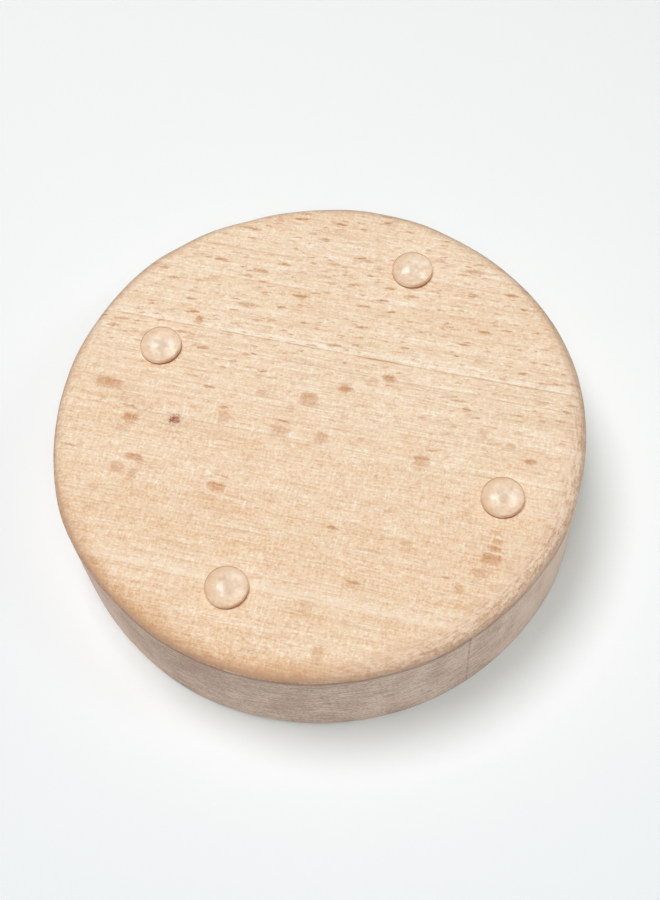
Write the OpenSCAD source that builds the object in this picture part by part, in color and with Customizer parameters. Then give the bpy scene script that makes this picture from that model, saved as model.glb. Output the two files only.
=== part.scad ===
// Butter mold: one turned block of beech, hollowed and carved on its working face,
// with four clear stick-on bumper feet on the other face.
//
// Frame: millimetres. The block lies on its rim, working face down, as it is left to dry.
// z = 0 is the rim, +Z goes up to the feet, the block's axis is the Z axis and the wood
// grain runs along X.

/* [Block] */
// Diameter of the block
block_d = 100; // [92:1:120]
// Height of the block, from the rim to the face that carries the feet
block_h = 26; // [23:0.5:34]
// Width of the sanded shoulder round the feet side
shoulder_w = 2.6; // [1.6:0.1:3.4]
// How far that shoulder has dropped where it meets the wall
shoulder_drop = 1.2; // [0.6:0.1:1.5]
// Radius of the round on the rim's outer edge
rim_round = 1.5; // [0.6:0.1:2.4]

/* [Cavity] */
// Width of the rim between the wall and the cavity's mouth
rim_w = 12; // [9:0.5:15]
// Depth of the cavity, from the rim to the carved floor
cavity_depth = 12; // [10:0.5:15]
// Draft of the cavity's wall, in degrees, so that the butter lets go
draft = 8; // [4:0.5:12]
// Radius of the round at the mouth
mouth_round = 1; // [0.5:0.1:1.5]
// Radius of the fillet where the wall meets the floor
floor_fillet = 2; // [1:0.1:2.6]

/* [Carved print] */
// Depth of each carved leaf along its keel
leaf_depth = 2.4; // [1:0.1:3]
// Flat land between the tips of two leaves
tip_land = 0.8; // [0.4:0.1:2]
// Radius of the round groove that rings the print
groove_r = 0.9; // [0.5:0.1:1.2]
// Flat band on each side of that groove
groove_band = 1.2; // [0.8:0.1:2]

/* [Feet] */
// Diameter of a bumper foot and of its adhesive
foot_d = 8; // [6:0.5:10]
// Height of the clear dome above its adhesive
foot_h = 2.4; // [1.6:0.1:3.2]
// Height of the dome's straight edge
foot_edge_h = 0.9; // [0.4:0.1:1.2]
// Thickness of the adhesive under a dome
adhesive_t = 0.2; // [0.1:0.05:0.4]
// Distance from the block's wall to the circle on which the feet were meant to stand
foot_setback = 13; // [10:0.5:20]
// Direction of the back foot seen from the block's axis, in degrees from the grain
foot_turn = 75; // [60:1:90]
// How far each foot was stuck outside that circle: back, left, front, right
foot_out = [1.5, -1.9, -0.7, 0.4]; // [-2:0.1:2]
// How far each foot was stuck past its quarter turn, in degrees: back, left, front, right
foot_past = [-0.4, -1.8, 2.6, 3.1]; // [-4:0.1:4]

/* [Hidden] */
BACK = 0;
LEFT = 1;
FRONT = 2;
RIGHT = 3;
quarter_turn = 90;
overcut = 0.2;                 // how far a cutter starts outside the wood
leaves = 6;                    // a compass steps round its own circle six times

turned_fn = 180;
arc_fn = 72;
leaf_fn = 180;

block_r = block_d / 2;
// The shoulder is an arc that leaves the face smoothly and meets the wall at a crease
shoulder_r = (pow(shoulder_w, 2) + pow(shoulder_drop, 2)) / (2 * shoulder_drop);

mouth_r = block_r - rim_w;
function wall_r(z) = mouth_r - z * tan(draft);
// Centre of the arc that rounds the mouth, and of the one that fills the floor's corner
mouth_arc = [mouth_r + mouth_round * (1 - sin(draft)) / cos(draft), mouth_round];
fillet_z = cavity_depth - floor_fillet;
fillet_arc = [wall_r(fillet_z) - floor_fillet / cos(draft), fillet_z];

groove_at = fillet_arc[0] - groove_band - groove_r;
print_r = groove_at - groove_r - groove_band;
// A leaf lies between two arcs of the print's own circle, so its keel is half a radius long
leaf_half = (print_r - tip_land) / 2;
leaf_side = sqrt(pow(print_r, 2) - pow(leaf_half, 2));
leaf_sink = (pow(leaf_half, 2) - pow(leaf_depth, 2)) / (2 * leaf_depth);
leaf_ball_r = sqrt(pow(print_r, 2) + pow(leaf_sink, 2));

foot_r = foot_d / 2;
crown_h = foot_h - foot_edge_h;
crown_r = (pow(foot_r, 2) + pow(crown_h, 2)) / (2 * crown_h);

// ---- Profiles of the turned block ----

// The sliver between a corner of a profile and the arc that rounds it off
module corner_sliver(corner, centre, radius, touch_a, touch_b) {
    difference() {
        polygon([corner, touch_a, centre, touch_b]);
        translate(centre) circle(radius, $fn = arc_fn);
    }
}

module block_profile() {
    shoulder_arc = [block_r - shoulder_w, block_h - shoulder_r];
    rim_arc = [block_r - rim_round, rim_round];
    difference() {
        square([block_r, block_h]);
        corner_sliver([block_r, block_h], shoulder_arc, shoulder_r,
            [shoulder_arc[0], block_h], [block_r, block_h - shoulder_drop]);
        corner_sliver([block_r, 0], rim_arc, rim_round, [rim_arc[0], 0], [block_r, rim_arc[1]]);
    }
}

module cavity_profile() {
    across = [cos(draft), sin(draft)];   // square to the drafted wall, into the wood
    difference() {
        polygon([[0, 0], [mouth_r, 0], [wall_r(cavity_depth), cavity_depth], [0, cavity_depth]]);
        corner_sliver([wall_r(cavity_depth), cavity_depth], fillet_arc, floor_fillet,
            [fillet_arc[0], cavity_depth], fillet_arc + floor_fillet * across);
    }
    corner_sliver([mouth_r, 0], mouth_arc, mouth_round,
        [mouth_arc[0], 0], mouth_arc - mouth_round * across);
}

module turned_block() {
    rotate_extrude($fn = turned_fn) difference() {
        block_profile();
        cavity_profile();
        translate([groove_at, cavity_depth]) circle(groove_r, $fn = arc_fn);
    }
}

// ---- What is cut by hand ----

// One carved leaf, centred on the floor with its keel along X: two curved cuts meet at the keel
module leaf() {
    intersection() {
        translate([0, -leaf_side, -leaf_sink]) sphere(leaf_ball_r, $fn = leaf_fn);
        translate([0, leaf_side, -leaf_sink]) sphere(leaf_ball_r, $fn = leaf_fn);
        translate([-print_r, -print_r, -overcut]) cube([2 * print_r, 2 * print_r, block_h]);
    }
}

// The compass rosette: six leaves from the centre, and six more that join their tips
module rosette() {
    for (i = [0 : leaves - 1]) rotate(i * 360 / leaves) {
        translate([print_r / 2, 0, 0]) leaf();
        rotate(180 / leaves) translate([print_r * cos(180 / leaves), 0, 0]) rotate(90) leaf();
    }
}

// ---- Feet ----

module at_foot(place) {
    rotate(foot_turn + place * quarter_turn + foot_past[place])
        translate([block_r - foot_setback + foot_out[place], 0, block_h]) children();
}

module adhesive_disc(place) {
    color("Cornsilk") at_foot(place) cylinder(r = foot_r, h = adhesive_t, $fn = arc_fn);
}

// A clear moulded dome: a short straight edge and a crown that is part of a ball
module bumper_dome(place) {
    color("GhostWhite") at_foot(place) translate([0, 0, adhesive_t]) intersection() {
        cylinder(r = foot_r, h = foot_h, $fn = arc_fn);
        translate([0, 0, foot_h - crown_r]) sphere(crown_r, $fn = arc_fn);
    }
}

// ---- The pieces ----

module mold_body() {
    color("BurlyWood") difference() {
        turned_block();
        translate([0, 0, cavity_depth]) rosette();
    }
}

module foot_back() bumper_dome(BACK);
module foot_left() bumper_dome(LEFT);
module foot_front() bumper_dome(FRONT);
module foot_right() bumper_dome(RIGHT);
module adhesive_back() adhesive_disc(BACK);
module adhesive_left() adhesive_disc(LEFT);
module adhesive_front() adhesive_disc(FRONT);
module adhesive_right() adhesive_disc(RIGHT);

mold_body();
foot_back();
foot_left();
foot_front();
foot_right();
adhesive_back();
adhesive_left();
adhesive_front();
adhesive_right();
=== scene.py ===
# %% [markdown]
# # A butter mold in bare beech
# The object is a round block of beech with a carved hollow in its working face. It lies with that
# face down, so its four clear stick-on feet look up. The frame already holds every piece at its
# real size. This script gives the pieces their finish. The ones that a plain solid can't show well
# are modelled again, with softer and less regular edges. The floor, camera and light come last.

# %% Load the frame
import math

import bmesh
import bpy
from mathutils import Matrix, Vector, noise


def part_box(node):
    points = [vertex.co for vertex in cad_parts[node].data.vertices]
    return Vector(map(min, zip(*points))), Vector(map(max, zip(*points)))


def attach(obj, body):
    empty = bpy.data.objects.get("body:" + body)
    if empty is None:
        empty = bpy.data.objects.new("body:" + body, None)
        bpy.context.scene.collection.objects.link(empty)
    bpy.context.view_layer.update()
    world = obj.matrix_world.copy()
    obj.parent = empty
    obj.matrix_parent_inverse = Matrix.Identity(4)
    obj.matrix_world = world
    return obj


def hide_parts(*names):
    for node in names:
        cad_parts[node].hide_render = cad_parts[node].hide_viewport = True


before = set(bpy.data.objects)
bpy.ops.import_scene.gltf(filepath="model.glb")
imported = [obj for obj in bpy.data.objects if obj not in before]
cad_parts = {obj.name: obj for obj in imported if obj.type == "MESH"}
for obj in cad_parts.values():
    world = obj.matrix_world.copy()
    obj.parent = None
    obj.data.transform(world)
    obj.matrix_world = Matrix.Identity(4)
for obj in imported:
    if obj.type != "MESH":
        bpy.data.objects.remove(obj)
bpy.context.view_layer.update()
MM = 0.001
print("pieces in the frame:", sorted(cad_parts))

# %% [markdown]
# ## Reading sizes off the frame
# A piece that is modelled again has to fit the one it stands for. Typing the sizes in a second
# time would work until someone changes the mold. So the radii and heights are measured on the
# packed block: all its rings lie round the Z axis, and a ring is known by its height.

# %% Measure the block
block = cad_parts["mold_body"]
block_low, block_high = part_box("mold_body")
block_r = block_high.x
block_h = block_high.z
corners = [v.co for v in block.data.vertices]
hair = 0.002 * MM


def radii_at(height):
    """The inner and outer radius of the block's corners that lie at this height."""
    rings = [corner.xy.length for corner in corners if abs(corner.z - height) < hair]
    return min(rings), max(rings)


rim_inner, rim_outer = radii_at(0)
face_r = radii_at(block_h)[1]
print_heights = [corner.z for corner in corners if corner.xy.length < rim_inner / 2]
floor_z = min(print_heights)
leaf_depth = max(print_heights) - floor_z
fillet_r = max(corner.xy.length for corner in corners
               if abs(corner.z - floor_z) < hair and corner.xy.length < rim_inner)
crease_z = min(corner.z for corner in corners
               if corner.z > block_h / 2 and corner.xy.length > block_r - 0.05 * MM)
print(f"block {2 * block_r / MM:.1f} across and {block_h / MM:.1f} high; floor at "
      f"{floor_z / MM:.2f}, leaves {leaf_depth / MM:.2f} deep; crease at {crease_z / MM:.2f}")

# %% [markdown]
# ## Writing shader maths as sums
# A node tree for wood holds a few hundred small sums, and a reader can't follow those as boxes and
# wires. A small class wraps a socket and overloads the arithmetic, so a mask reads like the
# formula that it is.

# %% Numbers that vary over a surface
class Value:
    """A number that varies over a surface. Arithmetic on it adds Math nodes to its finish."""

    def __init__(self, finish, socket):
        self.finish = finish
        self.socket = socket

    def maths(self, operation, *terms):
        node = self.finish.node("ShaderNodeMath", {"operation": operation}, dict(enumerate(terms)))
        return Value(self.finish, node.outputs[0])

    def __add__(self, other):
        return self.maths("ADD", self, other)

    def __sub__(self, other):
        return self.maths("SUBTRACT", self, other)

    def __rsub__(self, other):
        return self.maths("SUBTRACT", other, self)

    def __mul__(self, other):
        return self.maths("MULTIPLY", self, other)

    def __truediv__(self, other):
        return self.maths("DIVIDE", self, other)

    def __pow__(self, other):
        return self.maths("POWER", self, other)

    def __abs__(self):
        return self.maths("ABSOLUTE", self)

    __radd__ = __add__
    __rmul__ = __mul__

    def larger(self, other):
        return self.maths("MAXIMUM", self, other)

    def cosine(self):
        return self.maths("COSINE", self)

    def turn_from(self, along):
        """The angle in radians of a point that lies this far across and so far along."""
        return self.maths("ARCTAN2", self, along)

    def rise(self, start, end):
        """0 up to start, 1 from end on, a smooth step between. It falls if end < start."""
        flip = end < start
        low, high = (end, start) if flip else (start, end)
        to_low, to_high = (1.0, 0.0) if flip else (0.0, 1.0)
        node = self.finish.node("ShaderNodeMapRange", {"interpolation_type": "SMOOTHSTEP"}, {
            "Value": self, "From Min": low, "From Max": high, "To Min": to_low, "To Max": to_high})
        return Value(self.finish, node.outputs[0])


print("values know sums and:", *[word for word in vars(Value) if word[0] != "_"])

# %% [markdown]
# A material is a node tree. `node` makes any node of it, and the other words are short for the
# few things that wood asks for again and again: a place, a noise, coats of colour, a bump.

# %% The words that a finish is written in
class Finish:
    """A procedural material, or a world, and the short words that write it."""

    def __init__(self, name, library=bpy.data.materials):
        self.made = library.new(name)
        self.made.use_nodes = True
        self.tree = self.made.node_tree
        self.tree.nodes.clear()

    def feed(self, socket, source):
        if isinstance(source, Value):
            source = source.socket
        if isinstance(source, bpy.types.NodeSocket):
            self.tree.links.new(source, socket)
        else:
            socket.default_value = source

    def node(self, kind, settings=None, sockets=None):
        """Any node: its settings first, then what feeds its sockets, by name or number."""
        node = self.tree.nodes.new(kind)
        for key, setting in (settings or {}).items():
            setattr(node, key, setting)
        for key, source in (sockets or {}).items():
            self.feed(node.inputs[key], source)
        return node

    def place(self):
        """Where the surface is, in millimetres, on the object's own axes."""
        here = self.node("ShaderNodeTexCoord").outputs["Object"]
        return self.scaled(here, (1 / MM,) * 3)

    def scaled(self, vector, factors):
        return self.node("ShaderNodeVectorMath", {"operation": "MULTIPLY"},
                         {0: vector, 1: factors}).outputs[0]

    def axes(self, vector):
        parts = self.node("ShaderNodeSeparateXYZ", None, {0: vector}).outputs
        return [Value(self, part) for part in parts]

    def joined(self, x, y, z):
        return self.node("ShaderNodeCombineXYZ", None, {0: x, 1: y, 2: z}).outputs[0]

    def mottle(self, vector, cells, detail=2.0, roughness=0.5, turn=None):
        """Noise from about -1 to 1, with a cell as long along each axis as cells says.

        turn, if given, is one more number that the noise changes with, counted in cells.
        """
        steps = self.scaled(vector, tuple(1 / cell for cell in cells))
        sockets = {"Vector": steps, "Scale": 1.0, "Detail": detail, "Roughness": roughness}
        if turn is not None:
            sockets["W"] = turn
        space = "3D" if turn is None else "4D"
        node = self.node("ShaderNodeTexNoise", {"noise_dimensions": space}, sockets)
        return (Value(self, node.outputs[0]) - 0.5) * 4

    def blend(self, share, under, over, mode="MIX"):
        """The colour over laid on the colour under, as far as share says."""
        node = self.node("ShaderNodeMix", {"data_type": "RGBA", "blend_type": mode},
                         {0: share, 6: under, 7: over})
        return node.outputs[2]

    def coats(self, colour, *coats):
        """Colours laid one after another on the first, each given as its share and itself."""
        for share, coat in coats:
            colour = self.blend(share, colour, coat)
        return colour

    def bump(self, height, depth):
        """A bump whose height of 1 stands depth metres proud."""
        return self.node("ShaderNodeBump", None,
                         {"Height": height, "Distance": depth, "Strength": 1.0}).outputs[0]

    def surface(self, **sockets):
        """Ends the material in one Principled shader."""
        names = {name.replace("_", " "): source for name, source in sockets.items()}
        shader = self.node("ShaderNodeBsdfPrincipled", None, names)
        self.node("ShaderNodeOutputMaterial", None, {"Surface": shader.outputs[0]})
        return self.made


print("finishes are written with:", *[word for word in vars(Finish) if word[0] != "_"])

# %% Colours as paint chips give them
def srgb(red, green, blue):
    """A colour given from 0 to 255, in the linear light that shaders use."""
    def linear(step):
        share = step / 255
        return share / 12.92 if share <= 0.04045 else ((share + 0.055) / 1.055) ** 2.4
    return (linear(red), linear(green), linear(blue), 1.0)


print("half white is", round(srgb(128, 128, 128)[0], 3), "in linear light")

# %% [markdown]
# ## The beech
# Beech is pale, and shows three things at once. Fibres and pores run along X and make fine
# streaks. Growth rings are flat sheets a few millimetres apart, and each ends in a thin dark line.
# Rays are brown ribbons square to the rings: cut across they are spindles, cut along they are
# blocks. All of it is written in three dimensions, so the face, the wall and the carving agree:
# the streaks of the face turn into dots where the wall cuts the fibres across. A picture wrapped
# round the block would need a seam and couldn't do that.

# %% Colours of the beech
pale_wood = srgb(254, 240, 221)
plain_wood = srgb(243, 216, 187)
warm_wood = srgb(229, 186, 145)
ray_brown = srgb(199, 142, 98)
ray_orange = srgb(211, 159, 120)
line_brown = srgb(196, 141, 93)
knot_brown = srgb(144, 58, 32)
print("plain wood is", [round(part, 3) for part in plain_wood[:3]])

# %% [markdown]
# ## The grain
# All layers of the wood share the same few noises, so that a pore that is dark is also deep. A
# noise is stretched by giving its cells a length along each axis: fibres are long in X and thin in
# Y and Z. The last two follow the round edge instead, as sandpaper did. They take the distance
# from the Z axis as a fourth number, so they change with it and need no seam.

# %% The noises that every layer shares
# The length of a cell along X, Y and Z in millimetres, the detail and the roughness
GRAIN = {
    "streaks": ((16, 0.9, 0.9), 3, 0.6),
    "fibres": ((2.6, 0.36, 0.34), 2, 0.7),
    "strokes": ((0.5, 2.2, 2.4), 2, 0.7),
    "speckle": ((1.1, 0.6, 0.6), 2, 0.7),
    "grit": ((0.5, 0.42, 0.45), 1, 0.75),
    "clouds": ((9, 4, 12), 3, 0.5),
    "bands": ((120, 6, 12), 2, 0.5),
}
# The same, and last how far apart the lines round the edge are
ROUND_GRAIN = {
    "scrape": ((3.6, 3.6, 0.32), 3, 0.65, 0.36),
    "tear": ((1.7, 1.7, 1.0), 3, 0.75, 0.45),
}


def grain_of(beech, where):
    """Every noise by its name."""
    x, y = beech.axes(where)[:2]
    radius = (x * x + y * y) ** 0.5
    grain = {name: beech.mottle(where, *how) for name, how in GRAIN.items()}
    for name, (cells, detail, roughness, apart) in ROUND_GRAIN.items():
        grain[name] = beech.mottle(where, cells, detail, roughness, turn=radius / apart)
    return grain


print("the noises are", ", ".join([*GRAIN, *ROUND_GRAIN]))

# %% The ground colour
# How much of each noise is in the tone, and how much more of it the lower half of the face has
TONE = {"streaks": (0.3, -0.1), "fibres": (0.25, 0.12), "strokes": (0.22, 0.16),
        "speckle": (0.38, -0.2), "grit": (0.36, 0.1), "clouds": (0.1, 0), "bands": (0.17, 0)}


def bare_wood(beech, grain, y, shade=0.0):
    """The ground colour of the wood. shade makes it darker where it is above 0."""
    lower = (y + grain["clouds"] * 6).rise(14, -12)
    warmth = y.rise(14, -26) * 0.26
    tone = warmth + shade - 0.12
    for name, (share, more) in TONE.items():
        tone = grain[name] * (lower * more + share) + tone
    return beech.coats(plain_wood, (tone.rise(0.1, -0.9), pale_wood),
                       (tone.rise(-0.1, 1), warm_wood))


print("the ground colour is mixed from", len(TONE), "of them")

# %% [markdown]
# ## Growth rings
# A growth ring is a flat sheet, so one distance from it is enough for its dark line and for the
# pale wood beside it. The rings are listed one by one, because no two are equally far apart.
# Sanding takes a line off here and there, so a noise breaks it up.

# %% The growth rings
# Where each ring ends on the Y axis, in millimetres, and how dark its line is
RINGS = [
    (45.5, 0.3), (42.9, 0.35), (38.6, 0.2), (35.8, 0.4), (32.4, 0.2), (28.8, 0.45), (24.6, 0.2),
    (20.6, 0.25), (17.6, 0.3), (16.1, 1.0), (12.2, 0.5), (8.1, 0.2), (3.6, 0.35), (-4.1, 0.55),
    (-9.0, 0.2), (-15.4, 0.15), (-19.5, 0.2), (-24.0, 0.35), (-28.8, 0.3), (-31.9, 0.3),
    (-37.4, 0.25), (-39.4, 0.25), (-42.0, 0.35), (-45.4, 0.3),
]


def growth_rings(beech, grain, y, where):
    """The thin dark line where each ring ends, and the pale early wood just above it, as masks."""
    sway = beech.mottle(where, (90, 30, 60), detail=1) * 0.25
    shiver = beech.mottle(where, (14, 5, 30)) * 0.06
    height = y + sway + shiver + grain["fibres"] * 0.03
    line, pale = 0.0, 0.0
    for ring_y, strength in RINGS:
        above = height - ring_y
        line = abs(above).rise(0.26, 0.02) * strength + line
        pale = above.rise(-0.1, 0.25) * above.rise(2.0, 0.5) * strength + pale
    hairs = abs(beech.mottle(where, (36, 0.8, 14), detail=2, roughness=0.6)).rise(0.24, 0.0)
    hairs = hairs * (0.6 - y.rise(8, 22) * 0.3)
    broken = beech.mottle(where, (5, 2, 20), detail=3).rise(-0.8, 0.8) * 0.8 + 0.2
    return (line + hairs) * broken, pale


print(len(RINGS), "growth rings")

# %% [markdown]
# ## Rays
# The rays come in two ways. Most are scattered by a Voronoi texture: each cell holds one, and its
# colour output gives that ray's own size and strength. The few that catch the eye are listed one
# by one, as a painter would place them, because chance wouldn't put them there.

# %% Two shapes of ray
def spindle(along, across, sink):
    """A lens with pointed ends: 1 inside, 0 outside. The three distances are in half sizes."""
    return (along * along + abs(across) + sink * sink).rise(1.05, 0.1)


def block_ray(along, across, sink):
    """A ray that is cut lengthwise: nearly a soft rectangle, and darker towards its upper edge."""
    flat = along * along
    tall = across * across
    body = (flat * flat + tall * tall + sink * sink).rise(1.2, 0.0)
    return body * (across.rise(-1.0, 0.9) * 0.4 + 0.6)


print("a ray is a", spindle.__name__, "or a", block_ray.__name__)

# %% Scatter rays
# The size of the smallest ray, as a share of the largest
smallest = 0.45


def scattered_rays(beech, where, cell, share, size, shape):
    """Rays by the hundred. share is how many cells hold one, size its half sizes in cells."""
    spots = beech.scaled(where, tuple(1 / side for side in cell))
    cells = beech.node("ShaderNodeTexVoronoi", {"voronoi_dimensions": "3D", "feature": "F1"},
                       {"Vector": spots, "Scale": 1.0, "Randomness": 1.0})
    offset = beech.node("ShaderNodeVectorMath", {"operation": "SUBTRACT"},
                        {0: spots, 1: cells.outputs["Position"]}).outputs[0]
    along, across, sink = beech.axes(offset)
    chance, girth, tone = beech.axes(cells.outputs["Color"])
    half = smallest + girth * (1 - smallest)
    mask = shape(along / (half * size[0]), across / (half * size[1]), sink / size[2])
    return mask * chance.rise(1 - share, 1.02 - share) * (0.25 + tone * tone * 0.75)


print("the largest scattered ray is", round(1 / smallest, 1), "times the size of the smallest")

# %% The rays that catch the eye
# Place, half length and half height in millimetres, and strength
LONG_RAYS = [
    (-23.5, 40.7, 2.5, 0.45, 0.9), (-8.3, 40.9, 1.6, 0.55, 0.8), (-6.1, 45.3, 1.6, 0.4, 1.0),
    (-19.3, 31.2, 1.5, 0.6, 0.8), (-9.9, 27.0, 2.1, 0.55, 1.0), (-19.5, 22.9, 2.3, 0.8, 0.7),
    (15.2, 40.8, 1.4, 0.6, 0.7), (22.2, 39.5, 2.3, 0.75, 0.7), (30.3, 35.6, 1.5, 0.5, 1.0),
    (27.0, 26.3, 1.4, 0.4, 0.9), (3.4, 8.5, 1.6, 1.0, 1.0), (11.1, 12.5, 1.4, 1.0, 0.9),
    (14.0, -29.5, 1.7, 0.45, 0.8), (30.0, -25.0, 1.1, 0.35, 0.8), (1.2, 37.6, 1.4, 0.45, 0.6),
    (44.8, 12.3, 0.9, 0.5, 0.9), (-22.0, 3.6, 1.2, 0.4, 0.9), (40.3, 0.7, 1.3, 0.8, 0.9),
    (7.8, -20.0, 1.2, 0.4, 0.9), (-44.7, -14.0, 1.3, 0.35, 0.9), (26.5, 9.0, 0.9, 0.6, 0.8),
    (-6.3, -0.7, 1.4, 0.26, 0.9), (-14.6, -14.2, 1.3, 0.24, 0.9), (22.0, -0.8, 1.3, 0.24, 0.9),
    (-36.0, -3.6, 2.2, 0.28, 0.8), (-29.5, -14.9, 1.6, 0.24, 0.7), (-18.2, -0.2, 0.8, 0.4, 0.9),
]
BLOCK_RAYS = [
    (-41.2, 0.3, 2.4, 1.05, 1.0), (-2.8, 4.8, 1.6, 1.25, 0.95), (1.4, -2.7, 1.1, 1.2, 0.8),
    (20.7, -3.4, 1.3, 1.0, 1.0), (-31.8, -14.0, 1.7, 0.7, 1.1), (-15.2, -16.6, 1.5, 0.9, 1.05),
    (-16.3, -18.8, 1.7, 0.6, 0.6), (-34.8, -6.2, 1.3, 1.0, 1.15), (-35.8, -8.6, 1.1, 0.9, 0.5),
    (7.0, -35.8, 1.2, 1.2, 0.45), (-28.1, 17.5, 0.8, 0.9, 1.0), (-17.6, -2.4, 1.1, 1.3, 0.7),
    (-6.6, -2.9, 1.8, 0.95, 0.7), (-34.3, -16.6, 1.1, 1.0, 0.7), (-31.1, -17.6, 0.7, 1.3, 0.7),
    (10.6, -44.0, 0.9, 1.3, 0.6), (37.1, -14.6, 0.6, 0.4, 0.7), (37.3, -16.3, 0.8, 0.45, 0.9),
    (37.0, -17.8, 1.1, 0.45, 1.1), (36.7, -19.9, 1.6, 1.0, 1.1), (35.2, -22.8, 1.3, 0.75, 0.8),
    (32.3, -26.6, 0.7, 1.0, 0.8), (-12.0, 4.2, 0.8, 0.8, 0.6), (30.5, 4.5, 0.9, 1.0, 0.6),
]
# How deep a ray goes into the wood in millimetres, and how much its frayed edge adds to it
ray_reach = 7.0
fray = 1.25


def placed_rays(x, y, z, rays, shape):
    """The rays placed by hand, as one mask."""
    mask = None
    for ray_x, ray_y, half_length, half_height, strength in rays:
        ray = shape((x - ray_x) / (half_length * fray), (y - ray_y) / (half_height * fray),
                    (z - block_h / MM) / ray_reach) * strength
        mask = ray if mask is None else mask.larger(ray)
    return mask


print(len(LONG_RAYS) + len(BLOCK_RAYS), "rays are placed by hand")

# %% [markdown]
# A ray that crosses the fibres has a frayed outline. So the point that the shapes are measured
# from is first pushed about by a noise, which is cheaper than fraying each shape. Narrow rays are
# the browner, so narrow and broad ones stay two masks, for two colours.

# %% All the rays as two masks
def all_rays(beech, grain, where, y):
    """Narrow rays and broad ones. The upper half of the face has more of the narrow ones."""
    wobble = beech.joined(beech.mottle(where, (2.0, 0.6, 4)) * 0.5,
                          beech.mottle(where, (1.0, 0.45, 4), detail=3) * 0.22, 0.0)
    frayed = beech.node("ShaderNodeVectorMath", {"operation": "ADD"}, {0: where, 1: wobble})
    ray_x, ray_y, ray_z = beech.axes(frayed.outputs[0])
    frayed = beech.joined(ray_x, ray_y - ray_x * 0.1, ray_z)
    upper = (y + grain["clouds"] * 2.5).rise(-2, 14)

    marked = placed_rays(ray_x, ray_y, ray_z, LONG_RAYS, spindle)
    dashes = scattered_rays(beech, frayed, (4.2, 1.6, 9), 0.6, (0.5, 0.32, 0.7), spindle)
    wisps = scattered_rays(beech, frayed, (2.2, 1.0, 9), 0.6, (0.55, 0.33, 0.7), spindle)
    narrow = (dashes * (0.12 + upper * 0.95)).larger(wisps * (0.2 + upper * 0.6)).larger(marked)

    comb = beech.mottle(where, (0.3, 3.0, 3.0), detail=1)
    blocks = placed_rays(ray_x, ray_y, ray_z, BLOCK_RAYS, block_ray) * (0.95 + comb * 0.15)
    squat = scattered_rays(beech, frayed, (4.6, 3.4, 9), 0.4, (0.28, 0.3, 0.7), block_ray)
    flakes = beech.mottle(where, (1.4, 0.8, 4)).rise(0.25, 1.2)
    bars = beech.mottle(where, (0.8, 3.4, 6)).rise(0.75, 1.5) * (1 - upper)
    broad = blocks.larger(squat * (0.6 - upper * 0.05)).larger(flakes * 0.5).larger(bars * 0.7)

    worn = 0.85 + grain["fibres"] * 0.2 + grain["grit"] * 0.2
    return narrow * worn, broad * worn


print("of those placed,", len(LONG_RAYS), "are narrow and", len(BLOCK_RAYS), "are broad")

# %% [markdown]
# ## The pin knot and the dark sheet
# A pin knot is a small branch cut across: a dark star, where cracks run out from its heart. The
# angle about its middle, through a cosine, gives it five lobes. One dark sheet, square to the
# face, crosses the whole block. Beside it the face is pale, and on the wall it is a thin,
# wavering, upright line.

# %% The pin knot and the sheet
# In millimetres, as all lengths in a finish are
knot_x, knot_y = -26.5, -4.7
knot_lobes = 5
sheet_y = -34.6


def pin_knot(x, y, grain):
    """A ragged star, as a mask, in a faint shade of its own."""
    off_x = x - knot_x + grain["speckle"] * 0.16
    off_y = y - knot_y + grain["strokes"] * 0.16
    reach = (off_x * off_x + off_y * off_y) ** 0.5
    lobes = (off_y.turn_from(off_x) * knot_lobes + 0.6).cosine()
    star = (lobes * 0.2 + grain["grit"] * 0.22 + 1.1 - reach).rise(-0.3, 0.6)
    return star * (0.58 + grain["grit"] * 0.3) + reach.rise(2.6, 1.0) * 0.14


def upright_sheet(beech, grain, where, y):
    """How far above the sheet a point is, and the pale wood beside it, as a mask."""
    waver = beech.mottle(where, (30, 30, 2.6), detail=2) * 0.1
    above = y - sheet_y + waver
    return above, above.rise(-0.15, 0.2) * above.rise(2.2, 0.5)


print("the knot is at", (knot_x, knot_y), "and the sheet crosses the block at", sheet_y)

# %% [markdown]
# ## The wall and the shoulder
# Both were sanded round and round. That left scratches that follow the edge, cut the fibres across
# and filled them with grey dust. So both are duller and rougher than the face. The shoulder has a
# little sanding brown all round and is browner at the front as painted shade, and its lower border
# is painted shade. On the right its torn fibres are painted pale, partly as painted light. Its
# crease is a dark line, the wall is painted paler towards its ends as painted light, and its foot
# has a painted contact shade. The sander was held a little askew, so the crease isn't quite level:
# one small function says by how much, for the colour here and for the shape later.

# %% Colours of the wall and the shoulder
# A little sanding brown, laid on more at the front as painted shade
sanded_and_shaded_edge = srgb(222, 182, 136)
# Painted shade along the shoulder's lower border
edge_shade = srgb(206, 167, 140)
# Pale torn fibres, made paler as painted light
torn_and_lit_edge = srgb(246, 225, 208)
torn_brown = srgb(190, 150, 124)
crease_brown = srgb(146, 104, 80)
wall_pale = srgb(249, 224, 207)
wall_pink = srgb(217, 168, 148)
wall_grey = srgb(166, 144, 129)
# Painted contact shade at the foot of the wall
foot_shade = srgb(112, 90, 74)
print(f"the wall runs from {wall_pale[0]:.2f} down to {wall_grey[0]:.2f} in red light")

# %% Where on the edge a point is
# How far the front is turned towards X, and how steeply the crease climbs towards the back
to_front = 0.3
askew = 0.008


def crease_lift(x, y):
    """How much higher than level the crease lies here, in the unit that x and y are in."""
    return (y - x * to_front) * askew


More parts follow.
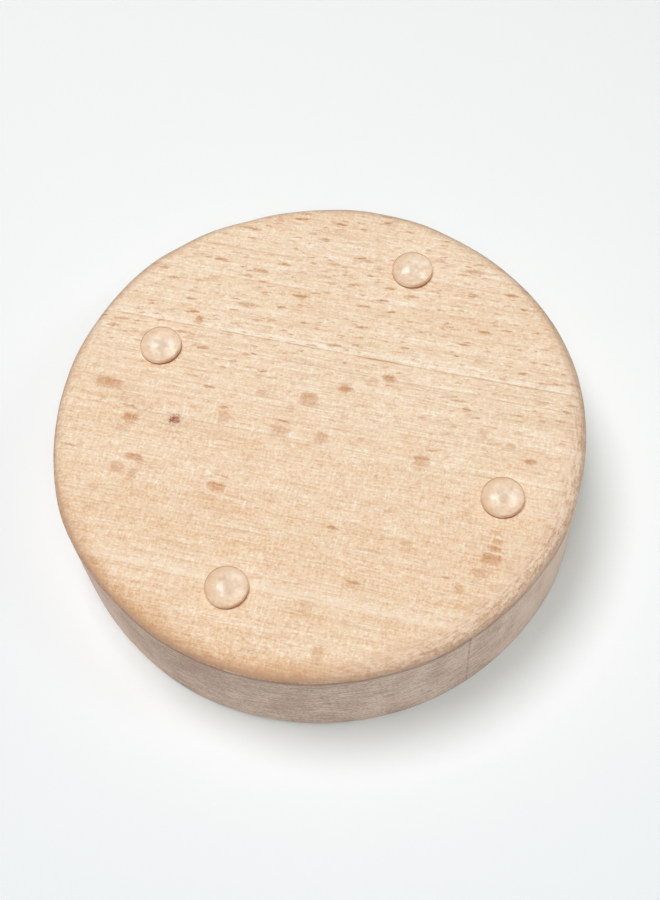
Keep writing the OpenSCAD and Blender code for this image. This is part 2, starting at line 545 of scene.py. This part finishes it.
def edge_zones(grain, x, y, z):
    """What the edge's layers are placed by: distances in millimetres, and masks from 0 to 1."""
    radius = (x * x + y * y) ** 0.5
    ragged = grain["grit"] * 0.16 + grain["scrape"] * 0.12 + grain["clouds"] * 0.12
    right = (x - y * 0.5).rise(22, 52)
    over = z - crease_z / MM - crease_lift(x, y)
    near = radius + grain["clouds"] * 0.5 + ragged + right * 0.7
    return {
        "radius": radius,
        "ragged": ragged,
        "front": (y - x * to_front).rise(-2, -40),
        "right": right,
        "over": over,
        "shoulder": near.rise(45.4, 49.4) * over.rise(-0.9, 0),
        "wall": (radius + ragged).rise(49.3, 49.9) * (over + ragged).rise(0.25, -0.2),
    }


print("the crease is", round(crease_z / MM, 2), "mm up, and lower at the front by",
      round(crease_lift(0, block_r) / MM, 2))

# %% Layers of the shoulder
def shoulder_layers(beech, grain, edge, colour):
    """Sanding brown, more at the front as painted shade; torn fibres on the right, pale ones
    partly painted light and brown ones; and a lower border of painted shade.
    """
    shoulder, front, right = edge["shoulder"], edge["front"], edge["right"]
    # Sanding brown all round, and more at the front as painted shade
    worn = shoulder * (0.1 + front * (0.5 - right * 0.3) + grain["scrape"] * 0.1)
    torn = shoulder * right
    shreds = grain["tear"] + grain["grit"] * 0.45
    # The border is painted shade where the shoulder falls away, most at the front
    border = (edge["radius"] + edge["ragged"] * 1.8).rise(48.1, 49.7) * edge["over"].rise(-0.9, 0)
    shown = (1 - right * 0.85) * (0.3 + front * 0.4 + grain["tear"] * 0.15)
    return beech.coats(beech.blend(worn, colour, sanded_and_shaded_edge, "MULTIPLY"),
                       # The torn fibres are painted pale, partly as painted light
                       (torn * shreds.rise(-0.5, 0.8) * 0.85, torn_and_lit_edge),
                       (torn * shreds.rise(0.3, -0.9) * 0.75, torn_brown),
                       (border * shown, edge_shade))


print("the shoulder is", round((block_r - face_r) / MM, 2), "mm wide")

# %% Layers of the wall
def wall_layers(beech, grain, edge, colour, x, z, above_sheet):
    """Dust, with ends painted paler as painted light, the crease, painted contact shade at the
    foot and the dark sheet's line. Its mask comes back too.
    """
    wall, ragged, over = edge["wall"], edge["ragged"], edge["over"]
    rub = (grain["grit"] * 0.4 + grain["scrape"] * 0.8 + grain["fibres"] * 0.25
           + grain["clouds"] * 0.3)
    # Painted light: the grey share thins towards the wall's right and left ends, so they come out
    # paler
    ends = x.rise(8, 30) * 0.25 + x.rise(38, 49) * 0.8 + x.rise(-12, -42) * 0.9
    flush = grain["scrape"] * 0.7 + grain["clouds"] * 0.8 + x.rise(20, -10) * 0.4
    dust_and_painted_light = beech.coats(wall_pale, ((rub - ends + 0.08).rise(-0.85, 0.95), wall_grey),
                       (flush.rise(-0.7, 1.8) * 0.5, wall_pink))

    below = ragged * 1.2 - over
    depth = 0.22 + edge["front"] * 0.14 + grain["tear"] * (0.15 + edge["right"] * 0.2)
    crease = abs(below - 0.4).rise(0.9, 0) * depth + below.rise(2.4, 0.3) * 0.22
    shown = wall * (0.25 + z / 70) * (0.75 + grain["grit"] * 0.5)
    sheet = abs(above_sheet).rise(0.26, 0.03) * shown
    colour = beech.coats(colour, (wall * 0.9, dust_and_painted_light),
                         (crease * edge["radius"].rise(49, 49.7), crease_brown),
                         # Painted contact shade along the wall's foot
                         (wall * (z + ragged).rise(0.9, 0) * 0.6, foot_shade),
                         (sheet, crease_brown))
    return colour, sheet


print("the wall is", round(crease_z / MM, 2), "mm high")

# %% [markdown]
# ## The finished beech
# The coats go on in the order in which the wood got its marks: grain, rings, rays and knot grew,
# and the edge was worn last. Masks serve twice, because what is dark is also rougher or deeper.
# Bare wood shines very little, so its specular level is well under the usual 0.5.

# %% Mix the beech
def beech_layers(beech):
    """The colour of bare beech, how rough it is, and its bump height."""
    where = beech.place()
    x, y, z = beech.axes(where)
    grain = grain_of(beech, where)
    line, pale = growth_rings(beech, grain, y, where)
    comb = beech.mottle(where, (0.5, 3.4, 3.0), detail=2).rise(0.1, 0.9)
    patches = beech.mottle(where, (6, 4, 12)).rise(-0.2, 0.9) * y.rise(20, 8)
    colour = bare_wood(beech, grain, y, comb * patches * -0.6 - pale * 0.4)
    narrow, broad = all_rays(beech, grain, where, y)
    above_sheet, pale_side = upright_sheet(beech, grain, where, y)
    colour = beech.coats(colour, (broad, ray_orange), (broad.rise(0.7, 1.1) * 0.6, ray_brown),
                         (narrow, ray_brown), (line * (0.4 + y.rise(-8, 14) * 0.25), line_brown),
                         (pin_knot(x, y, grain), knot_brown), (pale_side * 0.35, pale_wood))
    edge = edge_zones(grain, x, y, z)
    colour = shoulder_layers(beech, grain, edge, colour)
    colour, sheet = wall_layers(beech, grain, edge, colour, x, z, above_sheet)
    wall = edge["wall"]
    rough = 0.6 + grain["fibres"] * 0.06 + wall * 0.12
    height = (grain["streaks"] * 0.12 + grain["fibres"] * 0.2 + grain["strokes"] * 0.08
              + grain["grit"] * (0.08 + wall * 0.3) + grain["scrape"] * wall * 0.35
              + grain["tear"] * edge["shoulder"] * 0.6 - line * 0.3 - sheet)
    return colour, rough, height


grain_depth = 0.04 * MM


def bare_beech():
    beech = Finish("bare_beech")
    colour, rough, height = beech_layers(beech)
    return beech.surface(Base_Color=colour, Roughness=rough, Specular_IOR_Level=0.2,
                         Normal=beech.bump(height, grain_depth))


beech_material = bare_beech()
print("beech is mixed from", len(beech_material.node_tree.nodes), "nodes")

# %% [markdown]
# ## The turned block
# The block came off a lathe, and then its shoulder was rounded by hand against a belt. So its
# outline is a spun profile first. The profile is drawn as a chain of single points: one helper
# runs straight to the next corner, the other sweeps the last point round an arc. One spin about
# the Z axis makes the block of it. Bevelling a cylinder wouldn't keep each radius exact.

# %% Sizes of the profile
shoulder_w = block_r - face_r
shoulder_drop = block_h - crease_z
shoulder_arc_r = (shoulder_w ** 2 + shoulder_drop ** 2) / (2 * shoulder_drop)
shoulder_degrees = math.degrees(math.asin(shoulder_w / shoulder_arc_r))
rim_round = block_r - rim_outer
draft_degrees = 8
mouth_round = 1.0 * MM
floor_fillet = 2.0 * MM
groove_r = 0.9 * MM
groove_band = 1.2 * MM
groove_at = fillet_r - groove_band - groove_r
print(f"the shoulder turns {shoulder_degrees:.1f} degrees")
print(f"the groove runs {groove_at / MM:.2f} mm from the middle")

# %% Three helpers for turned shapes
def run_to(shape, last, radius, height, cuts=1):
    """Carries the profile straight on to this radius and height, in so many equal steps."""
    start = last.co.copy()
    for step in range(1, cuts + 1):
        last = bmesh.ops.extrude_vert_indiv(shape, verts=[last])["verts"][0]
        last.co = start.lerp(Vector((radius, 0, height)), step / cuts)
    return last


def sweep_round(shape, last, centre_r, centre_z, degrees, steps):
    """Carries the profile round an arc, clockwise from the front if the angle is positive."""
    swept = bmesh.ops.spin(shape, geom=[last], cent=(centre_r, 0, centre_z), axis=(0, 1, 0),
                           angle=math.radians(degrees), steps=steps, use_duplicate=False)
    return next(piece for piece in swept["geom_last"] if isinstance(piece, bmesh.types.BMVert))


weld = 0.0005 * MM


def spin_closed(shape, steps):
    """Spins a profile round the Z axis, and joins it at the seam and at the poles."""
    bmesh.ops.spin(shape, geom=shape.verts[:] + shape.edges[:], cent=(0, 0, 0), axis=(0, 0, 1),
                   angle=math.tau, steps=steps, use_merge=True)
    bmesh.ops.remove_doubles(shape, verts=shape.verts, dist=weld)
    bmesh.ops.recalc_face_normals(shape, faces=shape.faces)


print("points less than", weld / MM, "mm apart are made one")

# %% Draw the profile and turn it
turned_steps = 256
draft = math.radians(draft_degrees)
blank = bmesh.new()
point = blank.verts.new((0, 0, block_h))
point = run_to(blank, point, face_r, block_h, cuts=6)
point = sweep_round(blank, point, face_r, block_h - shoulder_arc_r, shoulder_degrees, 8)
point = run_to(blank, point, block_r, rim_round, cuts=10)
point = sweep_round(blank, point, block_r - rim_round, rim_round, 90, 6)
point = run_to(blank, point, rim_inner, 0, cuts=2)
point = sweep_round(blank, point, rim_inner, mouth_round, 90 - draft_degrees, 5)
point = run_to(blank, point, fillet_r + floor_fillet * math.cos(draft),
               floor_z - floor_fillet + floor_fillet * math.sin(draft), cuts=3)
point = sweep_round(blank, point, fillet_r, floor_z - floor_fillet, draft_degrees - 90, 6)
point = run_to(blank, point, groove_at + groove_r, floor_z)
point = sweep_round(blank, point, groove_at, floor_z, -180, 10)
point = run_to(blank, point, 0, floor_z)
print("the profile has", len(blank.verts), "points")
spin_closed(blank, turned_steps)

# %% [markdown]
# ## Sanded by hand
# A spun shape is too perfect: the belt took a little more off in some places than in others. The
# block has swells and flats of less than half a millimetre, each given by its angle, its half
# width and its height. A smooth noise adds the small ripple, and makes the crease wander. It
# depends only on a point's place, so the result is the same on every run. The rim and the face
# stay flat, and nothing goes past the block's own box.

# %% How far the edge is out of round
# Angle and half width in degrees, and how far the edge stands out, in millimetres
SWELLS = [(34, 34, 0.42), (82, 14, 0.12), (114, 20, -0.4), (147, 20, 0.42), (188, 22, -0.22),
          (215, 14, 0.32), (238, 14, -0.22), (308, 12, 0.15), (346, 13, 0.25)]


def wander(place, pitch, seed):
    """Smooth noise from about -1 to 1, whose hills are one pitch apart."""
    return noise.noise(place / pitch + Vector((seed, 2.7 * seed, -1.3 * seed)))


def swell_at(angle):
    """How far the edge stands out at this angle, in metres."""
    out = 0.0
    for middle, half, height in SWELLS:
        off = abs((angle - middle + 180) % 360 - 180) / half
        if off < 1:
            out += height * (1 + math.cos(math.pi * off)) / 2
    return out * MM


print("the edge stands out by up to", round(max(map(swell_at, range(360))) / MM, 2), "mm")

# %% Sand it
ripple = 0.05 * MM
ripple_pitch = 5 * MM
crease_wander = 0.25 * MM
crease_pitch = 7 * MM
# How far sanding reaches onto the face, how far above the rim it is full, and how far from the
# crease the wandering ends
onto_face = 0.5 * MM
above_rim = 4 * MM
beside_crease = 3 * MM

for vertex in blank.verts:
    radius = vertex.co.xy.length
    if radius < face_r - onto_face or (radius < rim_outer and vertex.co.z < block_h / 2):
        continue
    outward = Vector((vertex.co.x, vertex.co.y, 0)) / radius
    off_face = min(1.0, (radius - face_r + onto_face) / shoulder_w)
    off_rim = min(1.0, vertex.co.z / above_rim)
    angle = math.degrees(math.atan2(outward.y, outward.x))
    push = swell_at(angle) * (0.4 + 0.6 * off_rim)
    push += (wander(vertex.co, ripple_pitch, 8.4) - 0.6) * ripple * off_rim
    near_crease = max(0.0, 1 - abs(vertex.co.z - crease_z) / beside_crease) * off_face
    wavering = wander(outward * 40 * MM, crease_pitch, 5.2) * crease_wander
    lift = (crease_lift(vertex.co.x, vertex.co.y) + wavering) * near_crease
    vertex.co += outward * push * off_face
    vertex.co.z += lift
    vertex.co.x = max(block_low.x, min(block_high.x, vertex.co.x))
    vertex.co.y = max(block_low.y, min(block_high.y, vertex.co.y))
print("sanded a block of", len(blank.verts), "points")

# %% [markdown]
# ## The carving
# The print is a compass rosette, an old and common pattern on butter molds: six leaves from the
# centre, and six that join their tips. A carver makes each leaf with two curved cuts that meet in
# a keel. So each cutter is a lens: two arcs that meet in a point, swept about a far axis. The
# tips stay a little apart, because wood would break out between two cuts that touch.

# %% Sizes of a leaf
tip_land = 0.8 * MM
print_r = groove_at - groove_r - groove_band
leaf_half = (print_r - tip_land) / 2
leaf_side = math.sqrt(print_r ** 2 - leaf_half ** 2)
leaf_sink = (leaf_half ** 2 - leaf_depth ** 2) / (2 * leaf_depth)
leaf_ball_r = math.hypot(print_r, leaf_sink)
keel_r = leaf_depth + leaf_sink
# How far a cutter starts before the floor and runs on past the tips, for a clean cut
under_floor = 0.4 * MM
past_tip = math.radians(2)
flank_steps = 9
keel_steps = 28
print(f"a leaf is {2 * leaf_half / MM:.2f} long and {leaf_depth / MM:.2f} deep")

# %% Make a leaf cutter
def leaf_cutter(shape, middle_r, middle_turn, own_turn):
    """Adds a lens that cuts one leaf. Its keel lies along X before it is turned and moved."""
    lens = bmesh.new()
    keel = lens.verts.new((0, 0, keel_r))
    flank = math.atan2(keel_r, leaf_side) - math.asin((leaf_sink - under_floor) / leaf_ball_r)
    for side in (-1, 1):
        arc = bmesh.ops.duplicate(lens, geom=[keel])["geom"]
        bmesh.ops.spin(lens, geom=arc, cent=(0, -side * leaf_side, 0), axis=(-side, 0, 0),
                       angle=flank, steps=flank_steps, use_duplicate=False)
    bmesh.ops.remove_doubles(lens, verts=lens.verts, dist=weld)
    feet = sorted(lens.verts, key=lambda v: v.co.y)
    bmesh.ops.contextual_create(lens, geom=[feet[0], feet[-1]])
    half_sweep = math.asin(leaf_half / keel_r) + past_tip
    bmesh.ops.rotate(lens, verts=lens.verts, cent=(0, 0, 0),
                     matrix=Matrix.Rotation(-half_sweep, 3, "Y"))
    first = lens.edges[:]
    swept = bmesh.ops.spin(lens, geom=lens.verts[:] + first, cent=(0, 0, 0), axis=(0, 1, 0),
                           angle=2 * half_sweep, steps=keel_steps)
    last = [piece for piece in swept["geom_last"] if isinstance(piece, bmesh.types.BMEdge)]
    bmesh.ops.contextual_create(lens, geom=first)
    bmesh.ops.contextual_create(lens, geom=last)
    bmesh.ops.recalc_face_normals(lens, faces=lens.faces)
    place = (Matrix.Rotation(middle_turn, 4, "Z") @ Matrix.Translation((middle_r, 0, floor_z))
             @ Matrix.Rotation(own_turn, 4, "Z") @ Matrix.Translation((0, 0, -leaf_sink)))
    bmesh.ops.transform(lens, verts=lens.verts, matrix=place)
    copy = bpy.data.meshes.new("lens")
    lens.to_mesh(copy)
    lens.free()
    shape.from_mesh(copy)
    bpy.data.meshes.remove(copy)


leaves = 6
knives = bmesh.new()
for leaf in range(leaves):
    turn = math.tau * leaf / leaves
    leaf_cutter(knives, print_r / 2, turn, 0)
    leaf_cutter(knives, print_r * math.cos(math.pi / leaves), turn + math.pi / leaves, math.pi / 2)
print(2 * leaves, "cutters have", len(knives.faces), "faces in all")

# %% [markdown]
# A Boolean takes all twelve lenses out of the floor at once, and finds where the leaves cross by
# itself. The result is kept as a plain mesh, so that nothing is left to work out later.

# %% Make objects
crisp = math.radians(28)


def made_object(shape, name):
    """Turns a bmesh into an object in the scene, smooth but for its sharp edges."""
    mesh = bpy.data.meshes.new(name)
    shape.to_mesh(mesh)
    shape.free()
    mesh.shade_smooth()
    mesh.set_sharp_from_angle(angle=crisp)
    made = bpy.data.objects.new(name, mesh)
    bpy.context.scene.collection.objects.link(made)
    return made


carved = made_object(blank, "beech_block")
cutters = made_object(knives, "cutters")
print("made", carved.name, "and", cutters.name)

# %% Carve the floor
carve = carved.modifiers.new("carve", "BOOLEAN")
carve.operation = "DIFFERENCE"
carve.solver = "EXACT"
carve.use_self = True
carve.object = cutters
depsgraph = bpy.context.evaluated_depsgraph_get()
result = bpy.data.meshes.new_from_object(carved.evaluated_get(depsgraph))
carved.modifiers.clear()
carved.data = result
bpy.data.objects.remove(cutters)
result.shade_smooth()
result.set_sharp_from_angle(angle=crisp)
result.materials.clear()
result.materials.append(beech_material)
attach(carved, "root")
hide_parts("mold_body")
print("carved", carved.name, "out to", len(result.polygons), "faces")

# %% Look the block over
looked_over = bmesh.new()
looked_over.from_mesh(result)
open_edges = sum(1 for edge in looked_over.edges if not edge.is_manifold)
triangles = sum(len(face.verts) - 2 for face in looked_over.faces)
volume = looked_over.calc_volume() / MM ** 3
looked_over.free()
print(f"the block: {triangles} triangles, {open_edges} open edges, {volume:.0f} cubic mm of wood")

# %% [markdown]
# ## The feet
# Each foot is a drop of clear polyurethane, cast on its disc of adhesive. Clear things show by
# what they bend and reflect, so the dome needs a real form: an upright skirt, a round lip and a
# crown that is part of a ball. It could be a squashed sphere, but that has no skirt and no lip.

# %% Model a clear dome
FEET = ["foot_back", "foot_left", "foot_front", "foot_right"]
skirt_h = 0.9 * MM
lip_round = 0.35 * MM
lip_steps = 4
crown_steps = 14
dome_steps = 72
# How far a dome is pressed into its adhesive, so that no air shows between them
bonded = 0.01 * MM


def clear_dome(foot):
    """A dome in its place on the block, as an object."""
    low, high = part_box(foot)
    centre = (low + high) / 2
    radius = (high.x - low.x) / 2
    height = high.z - low.z
    crown_h = height - skirt_h
    crown_r = (radius ** 2 + crown_h ** 2) / (2 * crown_h)
    crown_degrees = math.degrees(math.asin(radius / crown_r))

    shape = bmesh.new()
    point = shape.verts.new((0, 0, height))
    point = sweep_round(shape, point, 0, height - crown_r, crown_degrees, crown_steps)
    point = run_to(shape, point, radius, -bonded)
    point = run_to(shape, point, 0, -bonded)
    spin_closed(shape, dome_steps)
    lip = [edge for edge in shape.edges
           if all(abs(v.co.z - skirt_h) < weld and v.co.xy.length > radius - weld
                  for v in edge.verts)]
    bmesh.ops.bevel(shape, geom=lip, offset=lip_round, segments=lip_steps, profile=0.5,
                    affect="EDGES", material=-1)
    bmesh.ops.translate(shape, verts=shape.verts, vec=(centre.x, centre.y, low.z))
    return made_object(shape, "clear_" + foot)


domes = {foot: clear_dome(foot) for foot in FEET}
print("each dome has", len(domes["foot_back"].data.polygons), "faces")

# %% [markdown]
# One finish serves all four feet. What it shows depends on how far a point is from the middle of
# its own foot, so that distance is worked out for every foot and kept only near that foot.

# %% Where on a foot a point is
foot_zone = 5.5


def off_nearest_foot(finish):
    """How far a point lies from the middle of the foot it is in, along X and Y, in millimetres."""
    x, y = finish.axes(finish.place())[:2]
    near_x, near_y = 0.0, 0.0
    for foot in FEET:
        low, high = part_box(foot)
        centre = (low + high) / 2 / MM
        off_x = x - centre.x
        off_y = y - centre.y
        inside = (off_x * off_x + off_y * off_y).rise(foot_zone ** 2 + 0.1, foot_zone ** 2)
        near_x = off_x * inside + near_x
        near_y = off_y * inside + near_y
    return near_x, near_y


print("a foot's zone is", 2 * foot_zone, "mm across")

# %% [markdown]
# To the eye a dome is glass. Light on its way from a lamp goes straight through it, as it nearly
# does in a thing this small: traced as glass, it would leave a black, noisy shadow. Where that
# light grazes the lip, most is turned away, and a thin shadow falls beside the dome. The skirt is
# painted brown as painted shade, most on the side turned from the lamps.

# %% Finish of the domes
clear_white = (0.99, 0.98, 0.96, 1.0)
# Painted shade on the skirt of a dome
skirt_shade = srgb(172, 112, 70)
let_through = (0.54, 0.535, 0.515, 1.0)
turned_brown = (0.32, 0.24, 0.17, 1.0)


def clear_polyurethane():
    clear = Finish("clear_polyurethane")
    off_x, off_y = off_nearest_foot(clear)
    smear = clear.mottle(clear.place(), (2.5, 2.5, 2.5), detail=1)
    reach = (off_x * off_x + off_y * off_y) ** 0.5
    # The skirt is painted brown as painted shade, most on the side turned from the lamps
    shaded_side = (off_x * 0.85 - off_y * 0.53 + smear * 0.4).rise(1.4, 4.1)
    dust_and_painted_light = reach.rise(3.7, 3.97) * (0.4 + shaded_side * 0.5)
    glass = clear.node("ShaderNodeBsdfPrincipled", None, {
        "Base Color": clear.blend(dust_and_painted_light, clear_white, skirt_shade),
        "Roughness": 0.25 + smear * 0.03,
        "IOR": 1.46,
        "Transmission Weight": 1.0})
    let_in = clear.node("ShaderNodeBsdfTransparent", None, {"Color": let_through})
    turned_away = clear.node("ShaderNodeBsdfTransparent", None, {"Color": turned_brown})
    facing = clear.node("ShaderNodeLayerWeight", None, {"Blend": 0.5})
    grazed = Value(clear, facing.outputs["Facing"]).rise(0.42, 0.68)
    lamplight = clear.node("ShaderNodeMixShader", None,
                           {0: grazed, 1: let_in.outputs[0], 2: turned_away.outputs[0]})
    lamp_ray = clear.node("ShaderNodeLightPath").outputs["Is Shadow Ray"]
    both = clear.node("ShaderNodeMixShader", None,
                      {0: lamp_ray, 1: glass.outputs[0], 2: lamplight.outputs[0]})
    clear.node("ShaderNodeOutputMaterial", None, {"Surface": both.outputs[0]})
    return clear.made


polyurethane = clear_polyurethane()
print("the clear finish has", len(polyurethane.node_tree.nodes), "nodes")

# %% [markdown]
# The adhesive under a dome is thin and clear: what shows is the wood under it, with a milky veil.
# Towards its edge the film is painted a darker tan, most on the left, as painted shade, and it is
# paler on the right as painted light, both for the light that the dome bends. A brown ring at its
# edge is painted shade. Its plain disc is right as it is, so it only gets a finish.

# %% Finish of the adhesive
veil = srgb(214, 199, 184)
veil_pale = srgb(250, 242, 230)
veil_dark = srgb(206, 178, 148)
veil_heart = srgb(204, 180, 158)
# Painted shade: a tan towards the film's edge, strongest on the left
refraction_shade_tan = srgb(218, 176, 134)
# Painted shade: a brown ring at the film's edge
ring_shade = srgb(144, 92, 58)


def adhesive_film():
    film = Finish("adhesive_film")
    where = film.place()
    y = film.axes(where)[1]
    off_x, off_y = off_nearest_foot(film)
    reach = (off_x * off_x + off_y * off_y) ** 0.5
    milk = film.mottle(where, (1.3, 1.3, 1.3), detail=3, roughness=0.6)
    wood = bare_wood(film, grain_of(film, where), y, 0.1)
    # Painted shade towards the edge, most on the left, and painted light on the right
    refracted_shade = (reach + milk * 0.5 - (off_x * 0.9 - off_y * 0.3) * 0.25).rise(1.8, 4)
    shaded_side = (off_x * 0.85 - off_y * 0.53).rise(1, 3.6)
    # A brown ring of painted shade at the edge, most on the side turned from the lamps
    ring = (reach + milk * 0.06).rise(3.4, 3.75) * (0.6 + shaded_side * 0.3)
    veiled = film.coats(wood, (0.45 + milk * 0.15, veil), (milk.rise(0, 0.8) * 0.65, veil_pale),
                        (milk.rise(0, -0.8) * 0.6, veil_dark),
                        ((reach + milk).rise(1.9, 0.2) * 0.55, veil_heart),
                        (refracted_shade * 0.5, refraction_shade_tan), (ring, ring_shade))
    return film.surface(Base_Color=veiled, Roughness=0.5 + milk * 0.05)


film_material = adhesive_film()
print("the adhesive has", len(film_material.node_tree.nodes), "nodes")

# %% Put the feet on
for foot, dome in domes.items():
    dome.data.materials.append(polyurethane)
    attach(dome, "root")
    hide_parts(foot)
    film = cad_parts[foot.replace("foot", "adhesive")]
    film.material_slots[0].material = film_material
print("feet:", ", ".join(domes))

# %% [markdown]
# ## The floor
# The block lies on plain white paper. It is painted greyer towards the front and the left as
# painted light falloff, with a painted shade on it left of the block. Far from the block it fades
# out into the white of the room, so that no dark horizon shows behind it.

# %% Floor
floor_half = 3.0
# The greyer end stands for painted light falloff and painted shade
paper_shaded = srgb(242, 245, 249)
paper_white = srgb(251, 254, 255)


def stage_floor():
    shape = bmesh.new()
    bmesh.ops.create_grid(shape, x_segments=1, y_segments=1, size=floor_half)
    mesh = bpy.data.meshes.new("floor")
    shape.to_mesh(mesh)
    shape.free()
    floor = bpy.data.objects.new("floor", mesh)
    bpy.context.scene.collection.objects.link(floor)
    paper = Finish("white_paper")
    where = paper.place()
    x, y = paper.axes(where)[:2]
    tooth = paper.mottle(where, (30, 30, 30)) * 6
    # Painted light falloff: the paper is lighter towards the back
    lit = (y + x * 0.1 + tooth).rise(-190, 120)
    beside_x, beside_y = x + 60, y + 30
    # Painted shade on the paper left of the block
    beside = (beside_x * beside_x + beside_y * beside_y + tooth * 60).rise(2800, 100)
    reach = (x * x + y * y) ** 0.5
    floor.data.materials.append(paper.surface(
        Base_Color=paper.blend(lit * (1 - beside * 0.4), paper_shaded, paper_white),
        Alpha=reach.rise(550, 280), Roughness=0.9, Specular_IOR_Level=0.1))


stage_floor()
print("the floor is", 2 * floor_half, "m wide")

# %% [markdown]
# ## The camera
# A camera's place is easiest to think of as two angles and a distance from what it looks at. It is
# rolled a little, as a hand holds it.

# %% Camera
camera_azimuth = math.radians(18.65)
camera_elevation = math.radians(62.76)
camera_roll = math.radians(-5.66)
camera_distance = 0.2723
camera_lens = 58.73
aim = Vector((3.64 * MM, -4.73 * MM, block_h))


def towards(azimuth, elevation):
    """The direction that points from the object to this azimuth and elevation."""
    return Vector((math.sin(azimuth) * math.cos(elevation),
                   -math.cos(azimuth) * math.cos(elevation), math.sin(elevation)))


camera_data = bpy.data.cameras.new("camera")
camera_data.lens = camera_lens
camera_data.clip_start = 0.01
camera = bpy.data.objects.new("camera", camera_data)
bpy.context.scene.collection.objects.link(camera)
back = towards(camera_azimuth, camera_elevation)
camera.matrix_world = (Matrix.Translation(aim + back * camera_distance)
                       @ (-back).to_track_quat("-Z", "Y").to_matrix().to_4x4()
                       @ Matrix.Rotation(camera_roll, 4, "Z"))
bpy.context.scene.camera = camera
print("the camera is at", [round(side, 3) for side in aim + back * camera_distance])

# %% [markdown]
# ## The light
# Soft light suits bare wood. Three softboxes light the block and the floor: a broad one nearly
# overhead and a little to the left gives the shadow on the right, and two weaker ones fill it.
# They are left out of every reflection. Two windows do the opposite: they light nothing, and are
# seen only as the bright spots on the domes. So the spots can be placed without moving the
# shadow. All of them stand one metre away.

# %% Lamps
def lamp(name, azimuth, elevation, size, power, colour):
    """A round lamp that faces the block. Angles are in degrees, size in metres, power in watts."""
    data = bpy.data.lights.new(name, "AREA")
    data.shape = "DISK"
    data.size = size
    data.energy = power
    data.color = colour
    light = bpy.data.objects.new(name, data)
    bpy.context.scene.collection.objects.link(light)
    spot = towards(math.radians(azimuth), math.radians(elevation))
    light.location = spot
    light.rotation_mode = "QUATERNION"
    light.rotation_quaternion = (-spot).to_track_quat("-Z", "Y")
    light.visible_transmission = False
    return light


left = lamp("left_softbox", -106.5, 76, 0.458, 5.9, (1.0, 0.975, 0.968))
front = lamp("front_fill", 21, 66, 0.50, 3.4, (0.972, 1.008, 0.96))
right = lamp("right_fill", 97, 51, 0.26, 0.65, (0.96, 0.99, 1.0))
left_spot = lamp("left_window", -98.7, 65.4, 0.36, 4.0, (1.0, 0.99, 0.97))
right_spot = lamp("right_window", 97, 51, 0.30, 2.3, (0.96, 0.98, 1.0))
for softbox in (left, front, right):
    softbox.visible_glossy = False
for window in (left_spot, right_spot):
    window.visible_diffuse = False
print("lamps:", ", ".join(made.name for made in (left, front, right, left_spot, right_spot)))

# %% [markdown]
# The room is white where it is looked at, and mostly white where a dome mirrors it. As a source
# of light it is weak, or it would wash the shadow out. The words of a finish write its tree too.

# %% The room
mirrored_share = 0.6
room = Finish("room", bpy.data.worlds)
ray = room.node("ShaderNodeLightPath").outputs
mirrored = Value(room, ray["Is Glossy Ray"]) * mirrored_share
white_share = Value(room, ray["Is Camera Ray"]) + mirrored
fill = room.node("ShaderNodeBackground", None, {"Color": (0.96, 1.0, 0.99, 1.0), "Strength": 0.06})
white = room.node("ShaderNodeBackground", None, {"Color": (1.0, 1.0, 1.0, 1.0), "Strength": 1.0})
chosen = room.node("ShaderNodeMixShader", None,
                   {0: white_share, 1: fill.outputs[0], 2: white.outputs[0]})
room.node("ShaderNodeOutputWorld", None, {"Surface": chosen.outputs[0]})
bpy.context.scene.world = room.made
bpy.context.scene.view_settings.view_transform = "Standard"
print("the room's light is", round(fill.inputs["Strength"].default_value, 2), "as strong as white")

# %% [markdown]
# ## The fit
# The pieces have to fit inside the packed model.
